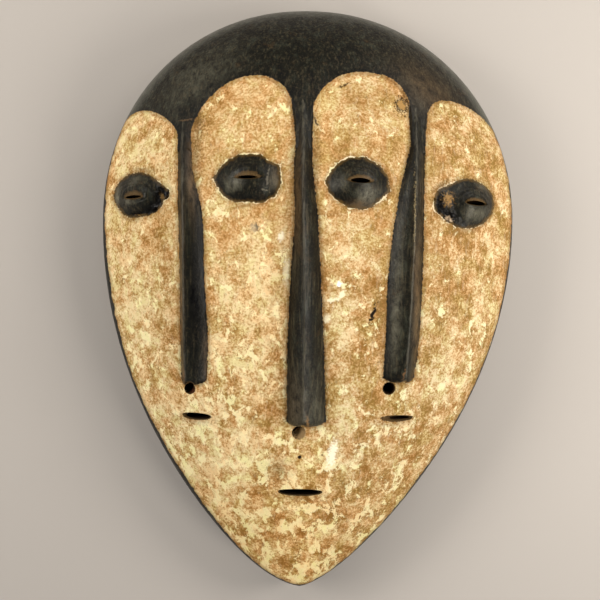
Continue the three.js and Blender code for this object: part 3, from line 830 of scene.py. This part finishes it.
def bore(x, y, levels, point=1.0, sides=32):
    """A closed cutter that follows the skin: rings of points, each a lens given by its height over
    the skin (none for the straight bottom), shift right and up, half length and half heights above
    and below. A lens is the sine of its turn to the power of point: below 1, its ends are blunt."""
    turn = np.linspace(0, 2 * np.pi, sides, endpoint=False)
    points, faces = [], []
    for over, right, up, half, above, below in levels:
        rise = np.sign(np.sin(turn)) * np.abs(np.sin(turn)) ** point
        px = x + right + half * np.cos(turn)
        py = y + up + np.where(rise > 0, above, below) * rise
        pz = np.full(sides, BORE_LOW) if over is None else face_height(px, py) + dome(px, py) + over
        points.append(np.stack([px, py, pz], axis=1))
    for k in range(len(levels) - 1):
        low = k * sides + np.arange(sides)
        faces.append(ring_faces(low + sides, low))
    last = sides * (len(levels) - 1)
    faces.append(np.arange(sides)[None, ::-1])
    faces.append(last + np.arange(sides)[None, :])
    return np.concatenate(points), faces


def cutters():
    """All the slits and holes as one set of closed cutters. Each flares where it meets the face.
    An eye's lids are cut back at a slant, the upper one further, and a mouth's lips stand round a
    smaller hole of its own."""
    pieces = []
    for x, y, half, tall, lid_half, lid_tall, lid_low in SLITS:
        pieces.append(bore(x, y, (
            (None, 0, 0, half, tall, tall), (SLIT_NECK, 0, 0, half, tall, tall),
            (0.0, 0, 0, lid_half, lid_tall, lid_low),
            (13.0, 0, 0, lid_half + 9, lid_tall + 9, lid_low + 6)), SLIT_POINT))
    for x, y, half, above, below, right, *hole in MOUTHS:
        pieces.append(bore(x, y, (
            (None, right, 0, *hole), (MOUTH_NECK, right, 0, *hole),
            (0.0, 0, 0, half, above, below), (6.0, 0, 0, half + 4, above + 2, below + 5)),
            MOUTH_POINT))
    for x, y, radius, lean in NOSTRILS:
        deep = (-1.4 * lean, 1.4 * lean, *[0.75 * radius] * 3)
        pieces.append(bore(x, y, (
            (None, *deep), (NOSTRIL_NECK, *deep), (0.0, 0, 0, *[radius + 0.3] * 3),
            (8.0, 0.5, -0.5, *[radius + 3.0] * 3))))
    points, faces, count = [], [], 0
    for piece_points, piece_faces in pieces:
        points.append(piece_points)
        faces.extend(group + count for group in piece_faces)
        count += len(piece_points)
    return new_object("cutters", np.concatenate(points), faces, smooth_shaded=False)


def apply_modifier(obj, kind, **settings):
    """Adds a modifier with its settings and applies it."""
    modifier = obj.modifiers.new(kind.title(), kind)
    for name, value in settings.items():
        setattr(modifier, name, value)
    bpy.context.view_layer.objects.active = obj
    bpy.ops.object.modifier_apply(modifier=modifier.name)


def spots(x, y, table):
    """Sum of bell-shaped spots, each an oval with its half length turned by an angle."""
    total = np.zeros(x.shape)
    for cx, cy, half_length, half_width, angle, strength in table:
        c, t = np.cos(np.radians(angle)), np.sin(np.radians(angle))
        u, v = (x - cx) * c + (y - cy) * t, (y - cy) * c - (x - cx) * t
        total += strength * np.exp(-1.2 * ((u / half_length) ** 2 + (v / half_width) ** 2))
    return total


def paint_masks(obj, shape):
    """Where each coating lies, one number for each vertex. black and eye: distance into the black
    and into an eye's patch. crust: the same as eye, and less at the outer eyes, where the kaolin's
    broken rim is thin. away: 0 at the eyes and large elsewhere. ridge: distance from the nearest
    nose ridge. painted_rim_sheen: distance inside the crown's outline, where a grey sheen is
    painted. crumbled: share of a pit's depth. depth: how far below the carved front, none on the
    outer wall. height: over the floor. stain_and_shade and blotchy: wear of the kaolin, with
    painted shade beside the noses, and strength of its mottle. rightward_grey: share of a cooler
    grey, from the middle to the right. low: share of the way down to the chin.
    painted_sheen_and_shade and browned: painted grey highlights and painted shade on the black,
    and the rubbing of the black to brown."""
    mesh = obj.data
    flat = np.empty(3 * len(mesh.vertices), dtype=np.float32)
    mesh.vertices.foreach_get("co", flat)
    x, y, z = flat.reshape(-1, 3).T.astype(float) / MM
    _, black = relief(x, y, shape)
    _, inside, _ = from_edge(x, y)
    eye = eye_depth(x, y, shape.raggedness / MM)
    ridge = np.full(x.shape, 20.0)
    for rows in NOSES:
        height, within, away = nose_form(x, y, rows)
        ridge = np.where((within > 0) & (height > 2.5), np.minimum(ridge, away), ridge)
    masks = {
        "black": black, "eye": eye, "crust": eye - 0.8 * smooth((np.abs(x) - 90) / 24),
        "away": np.where(eye_depth(x, y, 0.0) < -1.5, 40.0, 0.0), "ridge": ridge,
        "painted_rim_sheen": inside + 40 * smooth((115 - y) / 60) + 14 * smooth((30 - z) / 22),
        "crumbled": crumbling(x, y) / PIT_DEPTH,
        "depth": np.where((inside < 1.5) & (z > 0.3), 0.0, front_height(x, y, shape) - z),
        "height": z, "stain_and_shade": 0.2 - 0.65 * np.clip(x / 110, -1, 1) + spots(x, y, STAINS_AND_SHADE),
        "blotchy": 1.0 - 0.4 * smooth((y + 20) / 70) * smooth((100 - np.abs(x)) / 20),
        "rightward_grey": 0.8 * smooth(x / 30) + 0.4 * smooth((x - 70) / 40),
        "low": np.clip((60 - y) / 260, 0, 1),
        "painted_sheen_and_shade": spots(x, y, BLACK_SHEEN_AND_SHADE), "browned": spots(x, y, BLACK_BROWN)}
    for name, values in masks.items():
        attribute = mesh.attributes.new(name, "FLOAT", "POINT")
        attribute.data.foreach_set("value", values.astype(np.float32))


class Nodes:
    """A material's or world's node tree with one way of adding to it."""

    def __init__(self, tree):
        self.tree = tree
        self.tree.nodes.clear()

    def add(self, kind, inputs=None, out=0, **settings):
        """Adds a shader node with its settings, sets or links its inputs, and returns an output."""
        node = self.tree.nodes.new("ShaderNode" + kind)
        for name, value in settings.items():
            setattr(node, name, value)
        for name, value in (inputs or {}).items():
            if isinstance(value, bpy.types.NodeSocket):
                self.tree.links.new(value, node.inputs[name])
            else:
                node.inputs[name].default_value = value
        return node.outputs[out] if node.outputs else node


# Sockets of a mix node that blends two colours
MIX_A, MIX_B, MIX_OUT = 6, 7, 2


def new_material(name):
    """An empty material and its nodes."""
    material = bpy.data.materials.new(name)
    material.use_nodes = True
    return material, Nodes(material.node_tree)


def coats(n, sources, colour, layers, blend="MIX"):
    """Lays coats over a colour, each where its guide passes from one value to another."""
    for guide, low, high, strength, coat in layers:
        cover = n.add("MapRange", {0: sources[guide], 1: low, 2: high, 3: 0.0, 4: strength})
        colour = n.add("Mix", {0: cover, MIX_A: colour, MIX_B: linear(coat)}, MIX_OUT,
                       data_type="RGBA", blend_type=blend)
    return colour


def marks(n, place, speckle, colour, table):
    """Lays marks over a colour. Each is an oval, turned, and cut ragged by the place it reads and
    by the speckle."""
    for x, y, half_length, half_width, angle, softness, strength, coat in table:
        oval = n.add("Mapping", {
            "Vector": place, "Location": (x * MM, y * MM, 0), "Rotation": (0, 0, np.radians(angle)),
            "Scale": (half_length * MM, half_width * MM, 1e3)}, vector_type="TEXTURE")
        reach = n.add("VectorMath", {0: oval}, "Value", operation="LENGTH")
        reach = n.add("Math", {0: reach, 1: speckle}, operation="ADD")
        cover = n.add("MapRange", {0: reach, 1: 1.0 + softness / 2, 2: 1.0 - softness, 3: 0.0,
                                   4: strength})
        colour = n.add("Mix", {0: cover, MIX_A: colour, MIX_B: linear(coat)}, MIX_OUT,
                       data_type="RGBA")
    return colour


def mask_material(colours):
    """Kaolin and char on light carving wood. Kaolin is brushed on as a slip: matt, chalky, and
    rubbed down to the stained wood. Char is waxed and handled: dark, with a low broad sheen."""
    material, n = new_material("kaolin_and_blackened_wood")
    coords = n.add("TexCoord", out="Object")
    sources = {name: n.add("Attribute", out="Fac", attribute_name=name) for name in MASKS}
    for order, (name, (size, octaves, kept, stretch, warp)) in enumerate(PATTERNS.items()):
        place = n.add("Mapping", {"Vector": coords, "Location": (order, order, 0),
                                  "Scale": stretch})
        sources[name] = n.add("TexNoise", {
            "Vector": place, "Scale": 1 / (size * MM), "Detail": octaves, "Roughness": kept,
            "Distortion": warp})
    for name, *values in GUIDES:
        inputs = {place: sources.get(value, value) for place, value in enumerate(values)}
        sources[name] = n.add("Math", inputs, operation="MULTIPLY_ADD")
    wobble = n.add("TexNoise", {"Vector": coords, "Scale": 1 / (WANDER_SIZE * MM), "Detail": 2},
                   "Color")
    wobble = n.add("VectorMath", {0: wobble, 1: (0.5, 0.5, 0.5)}, operation="SUBTRACT")
    reach = WANDER_REACH * MM
    wobbled = n.add("VectorMath", {0: wobble, 1: (reach, reach, 0), 2: coords},
                    operation="MULTIPLY_ADD")

    kaolin = coats(n, sources, linear(colours.kaolin), KAOLIN_COATS)
    kaolin = coats(n, sources, kaolin, KAOLIN_TINTS, "MULTIPLY")
    kaolin = marks(n, wobbled, sources["fine"], kaolin, KAOLIN_MARKS)
    char = coats(n, sources, linear(colours.black), BLACK_COATS)
    char = marks(n, wobbled, sources["coarse"], char, BLACK_MARKS)
    is_black = n.add("MapRange", {0: sources["ragged"], 1: -0.15, 2: 0.15})
    colour = n.add("Mix", {0: is_black, MIX_A: kaolin, MIX_B: char}, MIX_OUT, data_type="RGBA")
    wood = coats(n, sources, linear(colours.wood), WOOD_COATS)
    wood = marks(n, coords, sources["fine"], wood, WOOD_MARKS)
    is_cut = n.add("MapRange", {0: sources["ragged_depth"], 1: 0.85, 2: 1.3})
    colour = n.add("Mix", {0: is_cut, MIX_A: colour, MIX_B: wood}, MIX_OUT, data_type="RGBA")

    wax = n.add("MapRange", {0: sources["cast"], 1: 0.35, 2: 0.65, 3: 0.50, 4: 0.28})
    wax = n.add("Math", {0: wax, 1: sources["crumbled"]}, operation="MAXIMUM")
    gloss = n.add("MapRange", {0: is_black, 3: 0.9, 4: wax})
    bump = n.add("Bump", {"Height": sources["grain"], "Distance": BUMP_DEPTH * MM,
                          "Strength": 0.7}, "Normal")
    shader = n.add("BsdfPrincipled", {
        "Base Color": colour, "Roughness": gloss, "Normal": bump, "Specular IOR Level": 0.16})
    n.add("OutputMaterial", {"Surface": shader})
    return material


class MASK_OT_carve(bpy.types.Operator):
    """Carve the mask, bore its slits and holes, and coat it"""

    bl_idname = "mask.carve"
    bl_label = "Carve the mask"

    def execute(self, context):
        shape = context.scene.mask_shape
        mask = carved_block(shape)
        tools = cutters()
        apply_modifier(mask, "BOOLEAN", object=tools, operation="DIFFERENCE", solver="MANIFOLD")
        bpy.data.objects.remove(tools)
        mask.data.calc_loop_triangles()
        share = shape.triangles / max(len(mask.data.loop_triangles), 1)
        if share < 1:
            apply_modifier(mask, "DECIMATE", ratio=share)
        mask.data.set_sharp_from_angle(angle=np.radians(SHARP_ANGLE))
        paint_masks(mask, shape)
        mask.data.materials.clear()
        mask.data.materials.append(mask_material(context.scene.mask_colours))
        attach(mask, "root")
        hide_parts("mask")
        return {"FINISHED"}


class MASK_OT_stage(bpy.types.Operator):
    """Lay the pale floor, and set the soft lights and the camera above the mask"""

    bl_idname = "mask.stage"
    bl_label = "Set the stage"

    def execute(self, context):
        settings = context.scene.mask_stage
        scene = context.scene
        scene.view_settings.view_transform = "Standard"
        # Matt and pale, so that it takes the soft shadows and gives no gloss
        material, n = new_material("matt_paint")
        shader = n.add("BsdfPrincipled", {"Base Color": linear(settings.floor), "Roughness": 0.95})
        n.add("OutputMaterial", {"Surface": shader})
        corners = FLOOR_HALF * np.array([[-1, -1, 0], [1, -1, 0], [1, 1, 0], [-1, 1, 0]])
        floor = new_object("floor", corners, [np.array([[0, 1, 2, 3]])])
        floor.data.materials.append(material)

        world = bpy.data.worlds.new("soft_room")
        world.use_nodes = True
        n = Nodes(world.node_tree)
        direction = n.add("TexCoord", out="Generated")
        toward_dark = n.add("VectorMath", {0: direction, 1: DARK_CEILING}, "Value",
                            operation="DOT_PRODUCT")
        levels = (*CEILING_CONE, *(settings.room * share for share in CEILING_SHARE))
        strength = n.add("MapRange", {0: toward_dark, **dict(enumerate(levels, start=1))})
        room = n.add("Background", {"Color": linear(ROOM_COLOUR), "Strength": strength})
        n.add("OutputWorld", {"Surface": room})
        scene.world = world

        for name, azimuth, elevation, distance, size, power in LIGHTS:
            light = bpy.data.lights.new(name, "AREA")
            light.shape = "DISK"
            light.size = size
            light.energy = power
            light.color = linear(LAMP_COLOUR)[:3]
            lamp = bpy.data.objects.new(name, light)
            turn, tilt = np.radians(azimuth), np.radians(90 - elevation)
            lamp.location = distance * np.array(
                [np.sin(tilt) * np.cos(turn), np.sin(tilt) * np.sin(turn), np.cos(tilt)])
            lamp.rotation_euler = (tilt, 0, turn + np.pi / 2)
            scene.collection.objects.link(lamp)

        camera_data = bpy.data.cameras.new("camera")
        camera_data.sensor_width = SENSOR
        scale = (settings.camera_height / MM - EDGE_HEIGHT) / PIXEL_SIZE
        camera_data.lens = SENSOR * scale / PIXELS
        camera_data.clip_end = 20
        camera = bpy.data.objects.new("camera", camera_data)
        camera.location = (CAMERA_X * MM, CAMERA_Y * MM, settings.camera_height)
        camera.rotation_euler = (0, 0, settings.roll)
        scene.collection.objects.link(camera)
        scene.camera = camera
        return {"FINISHED"}


class MASK_PT_panel(bpy.types.Panel):
    """Buttons for the mask and its stage"""

    bl_label = "Face Mask"
    bl_idname = "MASK_PT_panel"
    bl_space_type = "VIEW_3D"
    bl_region_type = "UI"
    bl_category = "Face Mask"

    def draw(self, context):
        for operator in (MASK_OT_stage, MASK_OT_carve):
            self.layout.operator(operator.bl_idname)


CLASSES = (MaskShape, MaskColours, StageSettings, MASK_OT_carve, MASK_OT_stage, MASK_PT_panel)


def register():
    """Adds the classes and the scene's settings."""
    for cls in CLASSES:
        bpy.utils.register_class(cls)
    bpy.types.Scene.mask_shape = bpy.props.PointerProperty(type=MaskShape)
    bpy.types.Scene.mask_colours = bpy.props.PointerProperty(type=MaskColours)
    bpy.types.Scene.mask_stage = bpy.props.PointerProperty(type=StageSettings)


def unregister():
    """Takes them away again."""
    del bpy.types.Scene.mask_stage, bpy.types.Scene.mask_colours, bpy.types.Scene.mask_shape
    for cls in reversed(CLASSES):
        bpy.utils.unregister_class(cls)


def main():
    """Sets the stage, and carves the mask."""
    register()
    bpy.ops.mask.stage()
    bpy.ops.mask.carve()


if __name__ == "__main__":
    main()
